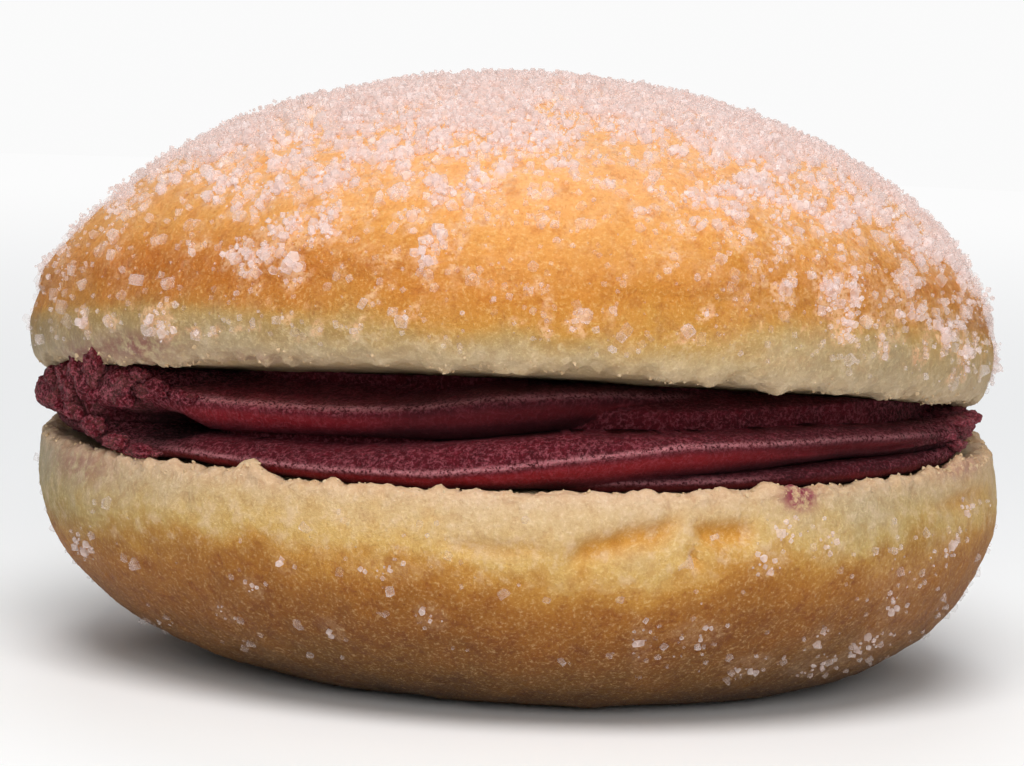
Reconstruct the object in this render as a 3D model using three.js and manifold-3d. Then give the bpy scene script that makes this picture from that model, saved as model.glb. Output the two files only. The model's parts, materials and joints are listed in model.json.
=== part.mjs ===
// A jelly filled doughnut: a round yeast doughnut, split level along its pale waist, with stiff jelly piped
// to and fro across the open front and coarse sugar on the crust.
// Millimetres, +Z up. The mouth opens towards -Y, and the origin is the centre of the flat spot it rests on.
// An azimuth is in degrees from the front (-Y), and grows towards the right (+X).
import * as THREE from "three";
import { mergeVertices } from "three/addons/utils/BufferGeometryUtils.js";
import Module from "manifold-3d";

const wasm = await Module();
wasm.setup();

const { lerp, smoothstep, clamp, degToRad, radToDeg } = THREE.MathUtils;

// Driving dimensions
const bread = {
  width: 84, // across the waist, left to right
  depth: 81, // across the waist, front to back
  columns: 50, // facets round the doughnut
  clearance: 0.3, // between the jelly and the crumb
};
const base = {
  flatRadius: 22, // of the spot it rests on
  centreShare: 0.6, // of that radius, where the flat spot's inner ring lies
  waistHeight: 16,
  cutHeight: 20.2, // level of the knife cut
  roundness: 1.9, // superellipse power of the underside: 2 is an ellipse
  leftFullness: 0.22, // how much rounder the underside is on the left than on the right
  waistShift: -3.2, // of the waist to the left of the flat spot
  lipPinch: 0.6, // how far the lip pulls in from the waist
  lipRadius: 0.9,
  dish: 0.5, // how far the cut crumb sinks behind its lip
  dishWidth: 1.2,
};
const lid = {
  bandHeight: 6.6, // pale band, from the cut up to the browned dome
  domeHeight: 20.5,
  roundness: 1.85,
  shift: -4.2, // to the left of the flat spot
  undersize: 0.2, // how much smaller its radius is than the lower half's
  lipPinch: 0.9,
  lipRadius: 1.1,
  bandBulge: 0.35,
  shoulderDip: 0.3, // shallow crease where the band meets the dome
  shoulderWidth: 1.6,
  leanBack: 0.1, // how far the opened lid leans back, for each mm of height
  leanRight: 0.035,
};
const mouth = {
  front: 10.1, // open height at the front
  back: 1.3,
  ease: 1.75, // power that closes it towards the back
  turn: 9, // degrees that the widest opening is turned from the front to the left
  slope: 0.016, // of the cut, up to the right
};
// Fold in the lower half's pale band
const crease = { azimuth: 14, halfWidth: 17, height: 16.8, halfHeight: 1.1, depth: 1 };
const outline = { threeLobes: 0.3, fiveLobes: 0.22 }; // how far the waist strays from an ellipse
const skin = { swell: 0.22, ripple: 0.14 }; // low unevenness of the fried skin
const knife = { coarse: 0.22, fine: 0.16 }; // unevenness of the cut edge
const bevel = 0.3; // how far in the bevel of a lip lies, as a share of the lip's radius

// ---- outline and levels shared by the two halves ----

function sine(degrees) {
  return Math.sin(degToRad(degrees));
}

function cosine(degrees) {
  return Math.cos(degToRad(degrees));
}

function bump(value, centre, halfWidth) {
  return Math.exp(-(((value - centre) / halfWidth) ** 2));
}

// Values between stops that each begin with an azimuth
function valuesAt(stops, azimuth) {
  const next = Math.max(1, stops.findIndex(([stop]) => stop >= azimuth));
  const [from, to] = [stops[next - 1], stops[next]];
  const share = (azimuth - from[0]) / (to[0] - from[0]);
  return from.slice(1).map((value, i) => lerp(value, to[i + 1], share));
}

function waistRadius(azimuth) {
  const [a, b] = [bread.width / 2, bread.depth / 2];
  const ellipse = (a * b) / Math.hypot(b * sine(azimuth), a * cosine(azimuth));
  return ellipse + outline.threeLobes * sine(3 * azimuth + 23) + outline.fiveLobes * sine(5 * azimuth + 109);
}

function cutLevel(x) {
  return base.cutHeight + mouth.slope * x;
}

// How far the lid is lifted off the base, most at the front
function lift(x, y) {
  const across = y * cosine(mouth.turn) + (x - base.waistShift) * sine(mouth.turn);
  const share = clamp(0.5 - across / bread.depth, 0, 1);
  return mouth.back + (mouth.front - mouth.back) * share ** mouth.ease;
}

// The knife's ragged edge, which always draws away from the jelly
function ragged(azimuth) {
  return knife.coarse * (1 + sine(9 * azimuth + 40)) + knife.fine * (1 + sine(17 * azimuth + 126));
}

function skinSwell(azimuth, height) {
  const swell = sine(4 * azimuth + 12 * height) * cosine(1.3 * azimuth + 9.7 * height);
  return skin.swell * swell * cosine(azimuth / 2) + skin.ripple * sine(7 * azimuth - 17 * height + 63);
}

// ---- profiles: each gives [radius, height] pairs for one azimuth ----

function underside(azimuth) {
  return base.roundness - base.leftFullness * sine(azimuth);
}

function fold(azimuth, height) {
  const along = bump(azimuth, crease.azimuth, crease.halfWidth);
  return crease.depth * along * bump(height, crease.height, crease.halfHeight);
}

// From the flat spot up the wall, over the lip and into the cut
function baseProfile(azimuth) {
  const waist = waistRadius(azimuth);
  const power = 2 / underside(azimuth);
  const pairs = [[base.flatRadius * base.centreShare, 0]];
  const steps = 9;
  for (let i = 0; i <= steps; i++) {
    const out = sine((i / steps) * 90) ** power;
    const height = base.waistHeight * (1 - cosine((i / steps) * 90) ** power);
    const uneven = skinSwell(azimuth, height) * out - fold(azimuth, height);
    pairs.push([lerp(base.flatRadius, waist, out) + uneven, height]);
  }
  for (const share of [0.27, 0.6, 1]) {
    const height = lerp(base.waistHeight, base.cutHeight - base.lipRadius, share);
    const uneven = skinSwell(azimuth, height) * (1 - share) - fold(azimuth, height);
    pairs.push([waist + uneven - base.lipPinch * share ** 2, height]);
  }
  const edge = waist - base.lipPinch;
  const drop = 0.5 * ragged(azimuth);
  pairs.push([edge - bevel * base.lipRadius, base.cutHeight - bevel * base.lipRadius - drop]);
  pairs.push([edge - base.lipRadius, base.cutHeight - drop]);
  pairs.push([edge - base.lipRadius - base.dishWidth, base.cutHeight - base.dish]);
  return pairs;
}

// From the cut out to the lip, up the band and over the dome, with heights above the lifted cut
function lidProfile(azimuth) {
  const waist = waistRadius(azimuth) - lid.undersize;
  const edge = waist - lid.lipPinch;
  const rise = 0.5 * ragged(azimuth + 115);
  const pairs = [0.4, 0.7, 0.9].map((share) => [edge * share, 0]);
  pairs.push([edge - lid.lipRadius, rise]);
  pairs.push([edge - bevel * lid.lipRadius, bevel * lid.lipRadius + rise]);
  for (const share of [0.16, 0.45, 0.75]) {
    const pinch = lid.lipPinch * (1 - share) ** 3;
    pairs.push([waist - pinch + lid.bandBulge * sine(share * 180), lid.bandHeight * share]);
  }
  const steps = 12;
  for (let i = 0; i < steps; i++) {
    const height = lid.bandHeight + lid.domeHeight * sine((i / steps) * 90) ** (2 / lid.roundness);
    const inward = cosine((i / steps) * 90) ** (2 / lid.roundness);
    const dip = lid.shoulderDip * bump(height, lid.bandHeight, lid.shoulderWidth);
    pairs.push([(waist + skinSwell(azimuth, height)) * inward - dip, height]);
  }
  return pairs;
}

// ---- meshes ----

// A closed skin over rings of points, each ring going the same way round, with a point at both ends
function skinOver(rings, first, last) {
  const count = rings[0].length;
  const points = [first, ...rings.flat(), last];
  const at = (ring, i) => 1 + ring * count + (i % count);
  const index = [];
  for (let i = 0; i < count; i++) {
    index.push(0, at(0, i + 1), at(0, i));
    index.push(points.length - 1, at(rings.length - 1, i), at(rings.length - 1, i + 1));
    for (let ring = 0; ring + 1 < rings.length; ring++) {
      index.push(at(ring, i), at(ring, i + 1), at(ring + 1, i + 1));
      index.push(at(ring, i), at(ring + 1, i + 1), at(ring + 1, i));
    }
  }
  return new THREE.BufferGeometry().setFromPoints(points).setIndex(index);
}

// Columns of points, one for each azimuth, turned into rings
function ringsOf(columns) {
  return columns[0].map((_, ring) => columns.map((column) => column[ring]));
}

function halfRings(profile, place) {
  const columns = Array.from({ length: bread.columns }, (_, i) => {
    const azimuth = (i / bread.columns) * 360 - 180;
    return profile(azimuth).map(([radius, height]) => place(azimuth, radius, height));
  });
  return ringsOf(columns);
}

function solidFrom(geometry) {
  const bare = geometry.clone();
  for (const name of ["normal", "uv"]) bare.deleteAttribute(name);
  const merged = mergeVertices(bare, 1e-4);
  return new wasm.Manifold(
    new wasm.Mesh({
      numProp: 3,
      vertProperties: merged.attributes.position.array,
      triVerts: new Uint32Array(merged.index.array),
    }),
  );
}

function geometryFrom(solid) {
  const mesh = solid.getMesh();
  return new THREE.BufferGeometry()
    .setAttribute("position", new THREE.BufferAttribute(mesh.vertProperties, 3))
    .setIndex(new THREE.BufferAttribute(mesh.triVerts, 1));
}

// ---- the lower half ----

function placeOnBase(azimuth, radius, height) {
  const x = base.waistShift * Math.min(1, height / base.waistHeight) + radius * sine(azimuth);
  const tilt = mouth.slope * x * (height / base.cutHeight);
  return new THREE.Vector3(x, -radius * cosine(azimuth), height + tilt);
}

function baseHalf() {
  const middle = placeOnBase(0, 0, base.cutHeight - base.dish);
  return skinOver(halfRings(baseProfile, placeOnBase), new THREE.Vector3(0, 0, 0), middle);
}

// ---- the upper half, lifted open at the front ----

function placeOnLid(azimuth, radius, height) {
  const x = lid.shift + radius * sine(azimuth);
  const y = -radius * cosine(azimuth);
  const level = cutLevel(x) + lift(x, y);
  return new THREE.Vector3(x + lid.leanRight * height, y + lid.leanBack * height, level + height);
}

function lidHalf() {
  const crown = placeOnLid(0, 0, lid.bandHeight + lid.domeHeight);
  return skinOver(halfRings(lidProfile, placeOnLid), placeOnLid(0, 0, 0), crown);
}

// ---- sugar: the largest crystals, fused where they stick to the crust ----

const sugar = {
  onLid: { count: 190, seed: 5, lowest: 2 },
  onBase: { count: 40, seed: 11, lowest: 3, highest: 17 },
  smallest: 0.85,
  largest: 1.5,
  apart: 0.87, // half the longest diagonal of a crystal, as a share of its size
  strays: 0.05, // share that stick below the sugar line
  rimShare: 0.5, // share that stick on the line itself
  fading: 3, // how fast that share grows above the line
};
// How far up the lid thick sugar begins, as a share of its height: [azimuth, share]
const sugarLine = [
  [-180, 0.35], [-135, 0.5], [-90, 0.7], [-60, 0.64], [-42, 0.42], [-15, 0.38], [0, 0.5],
  [8, 0.66], [18, 0.62], [32, 0.4], [50, 0.25], [90, 0.2], [135, 0.3], [180, 0.35],
];

function randomFrom(seed) {
  let state = seed;
  return () => {
    state = (state + 0x6d2b79f5) | 0;
    let mixed = Math.imul(state ^ (state >>> 15), 1 | state);
    mixed = (mixed + Math.imul(mixed ^ (mixed >>> 7), 61 | mixed)) ^ mixed;
    return ((mixed ^ (mixed >>> 14)) >>> 0) / 2 ** 32;
  };
}

function crystal(random, size) {
  const box = new THREE.BoxGeometry(size, size * lerp(0.7, 1, random()), size * lerp(0.6, 0.95, random()));
  box.rotateX(random() * Math.PI);
  box.rotateY(random() * Math.PI);
  return box.rotateZ(random() * Math.PI);
}

// Fuses crystals to a half, clear of each other. spot(random) gives a point on its skin, or null where no
// crystal sticks.
function withSugar(half, { count, seed }, spot) {
  const random = randomFrom(seed);
  const stuck = [];
  let sugared = solidFrom(half);
  while (stuck.length < count) {
    const size = lerp(sugar.smallest, sugar.largest, random() ** 2);
    const point = spot(random);
    const tooNear = ({ at, wide }) => at.distanceTo(point) < sugar.apart * (size + wide);
    if (!point || stuck.some(tooNear)) continue;
    const grain = crystal(random, size).translate(point.x, point.y, point.z);
    sugared = sugared.add(solidFrom(grain));
    stuck.push({ at: point, wide: size });
  }
  return geometryFrom(sugared);
}

// Even over the dome's area, because slices of a sphere of equal height have equal area
function spotOnLid(random) {
  const azimuth = lerp(-180, 180, random());
  const rise = random();
  const [line] = valuesAt(sugarLine, azimuth);
  if (random() > clamp(sugar.rimShare + sugar.fading * (rise - line), sugar.strays, 1)) return null;
  const height = lerp(sugar.onLid.lowest, lid.bandHeight + lid.domeHeight - 0.1, rise);
  const up = Math.max(0, height - lid.bandHeight) / lid.domeHeight;
  const radius = (waistRadius(azimuth) - lid.undersize) * (1 - up ** lid.roundness) ** (1 / lid.roundness);
  return placeOnLid(azimuth, radius, height);
}

function spotOnBase(random) {
  const azimuth = lerp(-180, 180, random());
  const height = lerp(sugar.onBase.lowest, sugar.onBase.highest, random());
  const down = Math.max(0, 1 - height / base.waistHeight);
  const out = (1 - down ** underside(azimuth)) ** (1 / underside(azimuth));
  return placeOnBase(azimuth, lerp(base.flatRadius, waistRadius(azimuth), out), height);
}

// ---- the jelly: it fills the mouth, and its open front is one line piped to and fro ----

const jelly = {
  columns: 66,
  crowding: 0.38, // how much closer together the columns are in front
  frontInset: 7.5, // of the jelly behind the piped line, from the waist
  hollowInset: 13, // of the hollow over the line, under the lid
  hollowHeight: 6.2,
  hollowBlend: 0.6,
  backInset: 2.2,
  ripple: 0.35,
  blend: 0.3, // softness of the grooves between the runs
  frontSpread: 2.4, // power that keeps the open front to the front
  roundness: 1.8, // superellipse power of a run's section
  thinnest: 0.08, // least height from one level of the skin to the next
};
// The three runs of the piped line, lowest first: [azimuth, inset of its ridge, then the heights above
// the cut of its foot, its ridge and its top, and how far its foot and top draw back behind the ridge]
const runs = [
  [
    [-180, 12, -0.1, 0, 0.1, 1], [-90, 12, -0.1, 0, 0.2, 1], [-10, 6, -0.6, 0.3, 1, 2],
    [8, 3.2, -0.6, 0.3, 1, 2], [20, 2, -0.6, 0.4, 0.9, 2], [45, 1.7, -0.4, 0.7, 1.4, 1.6],
    [74, 1.5, -0.3, 0.7, 1.3, 1.4], [88, 1.9, 0, 0.5, 0.9, 1.2], [110, 12, -0.1, 0.2, 0.4, 1],
    [180, 12, -0.1, 0, 0.1, 1],
  ],
  [
    [-180, 12, 0.2, 0.3, 0.4, 1], [-105, 12, 0.3, 0.9, 1.2, 1], [-86, 1.6, 0.3, 1.4, 2, 1.5],
    [-58, 2.6, 0.1, 0.9, 2, 2.2], [-24, 1.9, -0.6, 0.7, 2.3, 2.8], [-11, 1.6, -0.6, 0.9, 3.1, 3],
    [-2, 1.5, -0.4, 1.6, 3.8, 3], [6, 1.5, -0.2, 2.4, 4.2, 3], [20, 1.6, 0.6, 3.4, 4.2, 2.8],
    [43, 2, 1.5, 3.3, 4.2, 2.4], [74, 2, 0.9, 2.4, 3.2, 2], [88, 2.2, 0.8, 1.5, 2.2, 1.6],
    [110, 12, 0.5, 0.9, 1.2, 1], [180, 12, 0.2, 0.3, 0.4, 1],
  ],
  [
    [-180, 12, 0.5, 0.6, 0.7, 1], [-105, 12, 1.4, 2, 2.4, 1], [-82, 1.6, 1.6, 3, 3.8, 2],
    [-52, 3, 2.2, 4.6, 5.6, 2.5], [-25, 4.2, 2.9, 4.8, 5.5, 2.5], [-14, 4.4, 3.1, 5.5, 6.4, 2.5],
    [-5, 4.6, 3.4, 6.5, 7.3, 2.5], [5, 6, 4, 6.8, 7.6, 2.5], [14, 8.5, 4.2, 6.6, 7.4, 2.5],
    [28, 10.5, 4.4, 6, 6.8, 2], [46, 12, 4.2, 5.2, 5.7, 2], [70, 12, 3.2, 3.5, 3.8, 1],
    [110, 12, 1.4, 1.6, 1.8, 1], [180, 12, 0.5, 0.6, 0.7, 1],
  ],
];
// Lumps where the line turns: [azimuth, inset of the face, height above the cut, half length, half height,
// depth]
const lumps = [
  [-82, -0.8, 2.5, 5, 1.9, 2.4],
  [-62, 0.8, 5.2, 5.5, 2.8, 3],
  [-67, 1.2, 2.8, 6, 2.4, 3],
  [79, 1.8, 2.2, 5, 1.9, 2],
];
// How many levels of the skin lie from each foot, ridge and top to the next, from the floor to the lid
const levelSteps = [1, 2, 1, 2, 3, 2, 3, 2, 4];

function runInset([inset, foot, ridge, top, draw], height) {
  const away = height > ridge ? (height - ridge) / (top - ridge) : (ridge - height) / (ridge - foot);
  return away < 1.0001 ? inset + draw * (1 - Math.sqrt(Math.max(0, 1 - away ** jelly.roundness))) : Infinity;
}

function lumpInset([middle, inset, level, halfLength, halfHeight, depth], azimuth, height) {
  const along = (degToRad(azimuth - middle) * bread.width) / 2 / halfLength;
  const away = along ** 2 + ((height - level) / halfHeight) ** 2;
  return away < 1 ? inset + depth * (1 - Math.sqrt(1 - away)) : Infinity;
}

// How far in from the waist the jelly's skin lies
function jellyInset(azimuth, height) {
  const front = Math.abs(cosine(azimuth / 2)) ** jelly.frontSpread;
  const { hollowHeight, hollowBlend } = jelly;
  const hollow = smoothstep(height, hollowHeight - hollowBlend, hollowHeight + hollowBlend);
  const face = lerp(jelly.frontInset, jelly.hollowInset, hollow);
  const ripple = jelly.ripple * (sine(11 * azimuth) + sine(6 * azimuth + 57));
  const insets = [
    lerp(jelly.backInset, face, front) + ripple,
    ...runs.map((stops) => runInset(valuesAt(stops, azimuth), height)),
    ...lumps.map((lump) => lumpInset(lump, azimuth, height)),
  ];
  const nearest = Math.min(...insets);
  const crowd = insets.reduce((sum, inset) => sum + Math.exp((nearest - inset) / jelly.blend), 0);
  return nearest - jelly.blend * Math.log(crowd);
}

// Heights of the skin's levels at an azimuth, so that they follow the runs
function jellyLevels(azimuth, floor, ceiling) {
  const [low, middle, high] = runs.map((stops) => valuesAt(stops, azimuth).slice(1, 4));
  const marks = [floor, ...low.slice(1), ...middle, ...high, ceiling];
  const last = marks.length - 1;
  for (let i = 1; i <= last; i++) marks[i] = Math.max(marks[i], marks[i - 1] + jelly.thinnest);
  for (let i = last; i >= 0; i--) marks[i] = Math.min(marks[i], ceiling - jelly.thinnest * (last - i));
  const levels = levelSteps.flatMap((steps, i) =>
    Array.from({ length: steps }, (_, step) => lerp(marks[i], marks[i + 1], step / steps)),
  );
  return [...levels, ceiling];
}

function placeJelly(azimuth, height) {
  const radius = waistRadius(azimuth) - jellyInset(azimuth, height);
  const x = base.waistShift + radius * sine(azimuth);
  return new THREE.Vector3(x, -radius * cosine(azimuth), cutLevel(x) + height);
}

function underLid(x, y) {
  return cutLevel(x) + lift(x, y) - bread.clearance;
}

function jellyFilling() {
  const floor = bread.clearance - base.dish;
  const columns = Array.from({ length: jelly.columns }, (_, i) => {
    const turn = (i / jelly.columns) * 360 - 180;
    const azimuth = turn - radToDeg(jelly.crowding * sine(turn));
    const low = placeJelly(azimuth, 1);
    return jellyLevels(azimuth, floor, underLid(low.x, low.y) - cutLevel(low.x)).map((height) => {
      const point = placeJelly(azimuth, height);
      return point.setZ(Math.min(point.z, underLid(point.x, point.y)));
    });
  });
  const rings = ringsOf(columns);
  const edge = rings.at(-1);
  for (const share of [0.75, 0.5, 0.25]) {
    const nearer = edge.map(({ x, y }) => [x * share, y * share]);
    rings.push(nearer.map(([x, y]) => new THREE.Vector3(x, y, underLid(x, y))));
  }
  const [bottom, top] = [cutLevel(0) + floor, underLid(0, 0)].map((z) => new THREE.Vector3(0, 0, z));
  return skinOver(rings, bottom, top);
}

// ---- the doughnut ----

const looks = {
  crust: new THREE.MeshStandardMaterial({ color: 0xd08a3e, roughness: 0.7, metalness: 0 }),
  jelly: new THREE.MeshStandardMaterial({ color: 0x5a1426, roughness: 0.35, metalness: 0 }),
};

function part(name, geometry, material) {
  const mesh = new THREE.Mesh(geometry, material);
  mesh.name = name;
  return mesh;
}

const doughnut = new THREE.Group();
doughnut.add(part("doughnut_base", withSugar(baseHalf(), sugar.onBase, spotOnBase), looks.crust));
doughnut.add(part("jelly_filling", jellyFilling(), looks.jelly));
doughnut.add(part("doughnut_lid", withSugar(lidHalf(), sugar.onLid, spotOnLid), looks.crust));

export default doughnut;
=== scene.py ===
import json
import math
import bmesh
import bpy
import numpy as np
from mathutils import Matrix, Vector, noise

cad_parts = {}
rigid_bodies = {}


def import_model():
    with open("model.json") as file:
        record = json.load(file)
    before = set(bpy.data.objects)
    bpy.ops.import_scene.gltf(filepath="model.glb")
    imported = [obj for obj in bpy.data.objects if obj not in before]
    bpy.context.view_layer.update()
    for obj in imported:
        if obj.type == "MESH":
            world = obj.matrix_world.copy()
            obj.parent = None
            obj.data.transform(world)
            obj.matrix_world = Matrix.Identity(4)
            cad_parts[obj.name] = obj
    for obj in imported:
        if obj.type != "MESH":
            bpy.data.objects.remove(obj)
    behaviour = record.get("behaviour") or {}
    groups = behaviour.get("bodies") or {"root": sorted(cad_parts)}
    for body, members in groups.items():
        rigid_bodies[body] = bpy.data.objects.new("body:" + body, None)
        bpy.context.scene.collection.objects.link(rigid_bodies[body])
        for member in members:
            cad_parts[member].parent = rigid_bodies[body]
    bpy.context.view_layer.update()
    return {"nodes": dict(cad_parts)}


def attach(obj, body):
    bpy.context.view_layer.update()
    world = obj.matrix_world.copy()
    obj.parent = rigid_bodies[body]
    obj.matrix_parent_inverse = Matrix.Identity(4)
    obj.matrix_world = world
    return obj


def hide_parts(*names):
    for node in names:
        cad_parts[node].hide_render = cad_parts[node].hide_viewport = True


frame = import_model()
mm = 0.001
print("frame loaded:", sorted(frame["nodes"]))

# Sizes are in millimetres. The mouth opens towards -Y, and an azimuth is in degrees from there towards +X


def sine(degrees):
    return np.sin(np.radians(degrees))


def cosine(degrees):
    return np.cos(np.radians(degrees))


def bump(value, centre, halfWidth):
    return np.exp(-(((value - centre) / halfWidth) ** 2))


def blend(one, other, share):
    return one + (other - one) * share


def smooth(value, low, high):
    share = np.clip((value - low) / (high - low), 0, 1)
    return share * share * (3 - 2 * share)


def valueAt(stops, azimuth, column=1):
    return np.interp(azimuth, [stop[0] for stop in stops], [stop[column] for stop in stops])


def colour(*channels):
    # screen values from 0 to 255, as the linear colour that a shader takes
    return tuple(((c / 255 + 0.055) / 1.055) ** 2.4 if c > 10 else c / 255 / 12.92 for c in channels)


def link(piece):
    bpy.context.scene.collection.objects.link(piece)
    return piece


def setMark(mesh, label, values):
    mesh.attributes.new(label, "FLOAT", "POINT").data.foreach_set("value", values)


# Node trees: a Wire is one output of a node, and each sign in a formula with it adds a Math node
class Wire:
    def __init__(self, graph, socket):
        self.graph = graph
        self.socket = socket

    def also(self, output):
        return Wire(self.graph, self.socket.node.outputs[output])


def formula(operation, swapped):
    def joined(wire, other):
        values = {0: other, 1: wire} if swapped else {0: wire, 1: other}
        return wire.graph.add("ShaderNodeMath", {"operation": operation}, values)
    return joined


signs = {"add": "ADD", "sub": "SUBTRACT", "mul": "MULTIPLY", "truediv": "DIVIDE", "pow": "POWER"}
for sign, operation in signs.items():
    setattr(Wire, f"__{sign}__", formula(operation, False))
    setattr(Wire, f"__r{sign}__", formula(operation, True))


class Graph:
    def __init__(self, tree):
        self.tree = tree

    def add(self, kind, settings=None, values=None, output=0):
        node = self.tree.nodes.new(kind)
        for name, value in (settings or {}).items():
            if name == "stops":
                self.setStops(node.color_ramp, value)
            else:
                setattr(node, name, value)
        for key, value in (values or {}).items():
            if isinstance(value, Wire):
                self.tree.links.new(value.socket, node.inputs[key])
            else:
                node.inputs[key].default_value = value
        return Wire(self, node.outputs[output] if len(node.outputs) else None)

    def setStops(self, ramp, stops):
        while len(ramp.elements) < len(stops):
            ramp.elements.new(1.0)
        for element, (position, shade) in zip(ramp.elements, stops):
            element.position = position
            element.color = (*shade, 1.0)

    def place(self):
        return self.add("ShaderNodeTexCoord", None, None, "Object")

    def vector(self, operation, values, output=0):
        return self.add("ShaderNodeVectorMath", {"operation": operation}, values, output)

    def noise(self, place, size, detail=3.0, roughness=0.55):
        values = {"Vector": place, "Scale": 1 / (size * mm), "Detail": detail, "Roughness": roughness}
        return self.add("ShaderNodeTexNoise", None, values)

    def mark(self, name):
        if self.tree.type == "GEOMETRY":
            return self.add("GeometryNodeInputNamedAttribute", {"data_type": "FLOAT"}, {"Name": name})
        return self.add("ShaderNodeAttribute", {"attribute_name": name}, None, "Fac")

    def mix(self, share, one, other, kind="MIX"):
        shades = [(*shade, 1.0) if isinstance(shade, tuple) else shade for shade in (one, other)]
        settings = {"data_type": "RGBA", "blend_type": kind}
        return self.add("ShaderNodeMix", settings, {0: share, 6: shades[0], 7: shades[1]}, 2)

    def span(self, value, low, high, start=0.0, end=1.0):
        settings = {"interpolation_type": "SMOOTHSTEP"}
        return self.add("ShaderNodeMapRange", settings, {0: value, 1: low, 2: high, 3: start, 4: end})

    def mixShader(self, share, one, other):
        return self.add("ShaderNodeMixShader", None, {0: share, 1: one, 2: other})

    def relief(self, height, depth, strength, under=None):
        values = {"Height": height, "Distance": depth * mm, "Strength": strength}
        return self.add("ShaderNodeBump", None, {**values, "Normal": under} if under else values)


def material(name):
    made = bpy.data.materials.new(name)
    made.use_nodes = True
    made.node_tree.nodes.clear()
    return made, Graph(made.node_tree)


def finishMaterial(graph, constants, links):
    shader = graph.add("ShaderNodeBsdfPrincipled", None, {**constants, **links})
    graph.add("ShaderNodeOutputMaterial", None, {"Surface": shader})


def geometryTree(name, inputs):
    tree = bpy.data.node_groups.new(name, "GeometryNodeTree")
    tree.interface.new_socket("Geometry", in_out="OUTPUT", socket_type="NodeSocketGeometry")
    for label, kind in inputs.items():
        tree.interface.new_socket(label, in_out="INPUT", socket_type="NodeSocket" + kind)
    graph = Graph(tree)
    entry = tree.nodes.new("NodeGroupInput")
    return graph, {label: Wire(graph, entry.outputs[label]) for label in inputs}


def grow(base, tree, values):
    # runs a tree on an object, and gives what it makes as a plain mesh
    modifier = base.modifiers.new(tree.name, "NODES")
    modifier.node_group = tree
    for item in tree.interface.items_tree:
        if item.in_out == "INPUT" and item.name in values:
            modifier[item.identifier] = values[item.name]
    depsgraph = bpy.context.evaluated_depsgraph_get()
    evaluated = base.evaluated_get(depsgraph)
    made = bpy.data.meshes.new_from_object(evaluated, preserve_all_data_layers=True, depsgraph=depsgraph)
    base.modifiers.remove(modifier)
    return made


def show(name, mesh, look, smoothed=True):
    mesh.name = name
    mesh.materials.clear()
    mesh.materials.append(look)
    mesh.polygons.foreach_set("use_smooth", [smoothed] * len(mesh.polygons))
    return link(bpy.data.objects.new(name, mesh))


def skinMesh(name, rings, first, last, marks):
    # rings of points that all go the same way round, with a point at both ends
    rows, count = rings.shape[:2]
    at = 1 + np.arange(rows * count).reshape(rows, count)
    after = np.roll(at, -1, axis=1)
    quads = np.stack([at[:-1], after[:-1], after[1:], at[1:]], axis=-1).reshape(-1, 4)
    lowest = np.stack([np.zeros(count, int), after[0], at[0]], axis=-1)
    highest = np.stack([np.full(count, rows * count + 1), at[-1], after[-1]], axis=-1)
    mesh = bpy.data.meshes.new(name)
    points = np.vstack([[first], rings.reshape(-1, 3), [last]]) * mm
    mesh.from_pydata(points.tolist(), [], lowest.tolist() + quads.tolist() + highest.tolist())
    for label, values in marks.items():
        values = np.broadcast_to(values, (rows, count))
        values = np.concatenate([[values[0].mean()], values.reshape(-1), [values[-1].mean()]])
        setMark(mesh, label, values.astype(np.float32))
    return mesh


# Relief along the normal: swells all over, ripples and grain as strong as the marks of the mesh say, and
# crumbs on the lips
def reliefTree():
    sizes = [f"{kind} {size}" for kind in ("Swell", "Ripple", "Grain") for size in ("Size", "Depth")]
    floats = dict.fromkeys([*sizes, "Lip Depth"], "Float")
    graph, given = geometryTree("surfaceRelief", {"Geometry": "Geometry", **floats})
    place = graph.add("GeometryNodeInputPosition")
    grain = graph.mark("grain")

    def field(size, detail):
        values = {"Vector": place, "Scale": 1 / size, "Detail": detail}
        return graph.add("ShaderNodeTexNoise", None, values) - 0.5

    depth = field(given["Swell Size"], 2.0) * given["Swell Depth"]
    depth = depth + field(given["Ripple Size"], 3.0) * given["Ripple Depth"] * grain
    depth = depth + field(given["Grain Size"], 4.0) * given["Grain Depth"] * grain
    depth = depth + (field(given["Ripple Size"] * 0.7, 5.0) + 0.05) * given["Lip Depth"] * graph.mark("lip")
    normal = graph.add("GeometryNodeInputNormal")
    offset = graph.vector("SCALE", {0: normal, "Scale": depth})
    moved = graph.add("GeometryNodeSetPosition", None, {"Geometry": given["Geometry"], "Offset": offset})
    graph.add("NodeGroupOutput", None, {0: moved})
    return graph.tree


def roughened(mesh, settings):
    rough = link(bpy.data.objects.new(mesh.name, mesh))
    made = grow(rough, relief, {name: value * mm for name, value in settings.items()})
    bpy.data.objects.remove(rough)
    return made


relief = reliefTree()
print("relief tree ready")

# What the two halves share: their outline, the level of the cut and the lift of the lid
bread = {
    "width": 84, "depth": 81, "cutHeight": 20.2, "slope": 0.016, "threeLobes": 0.3, "fiveLobes": 0.22,
    "columns": 700}
mouth = {"front": 10.1, "back": 1.3, "ease": 1.75, "turn": 9, "centre": -3.2}
azimuths = np.linspace(-180, 180, bread["columns"], endpoint=False)


def waistRadius(azimuth):
    a, b = bread["width"] / 2, bread["depth"] / 2
    ellipse = a * b / np.hypot(b * sine(azimuth), a * cosine(azimuth))
    three = bread["threeLobes"] * sine(3 * azimuth + 23)
    return ellipse + three + bread["fiveLobes"] * sine(5 * azimuth + 109)


def cutLevel(x):
    return bread["cutHeight"] + bread["slope"] * x


def lift(x, y):
    across = y * cosine(mouth["turn"]) + (x - mouth["centre"]) * sine(mouth["turn"])
    share = np.clip(0.5 - across / bread["depth"], 0, 1)
    return mouth["back"] + (mouth["front"] - mouth["back"]) * share ** mouth["ease"]


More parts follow.
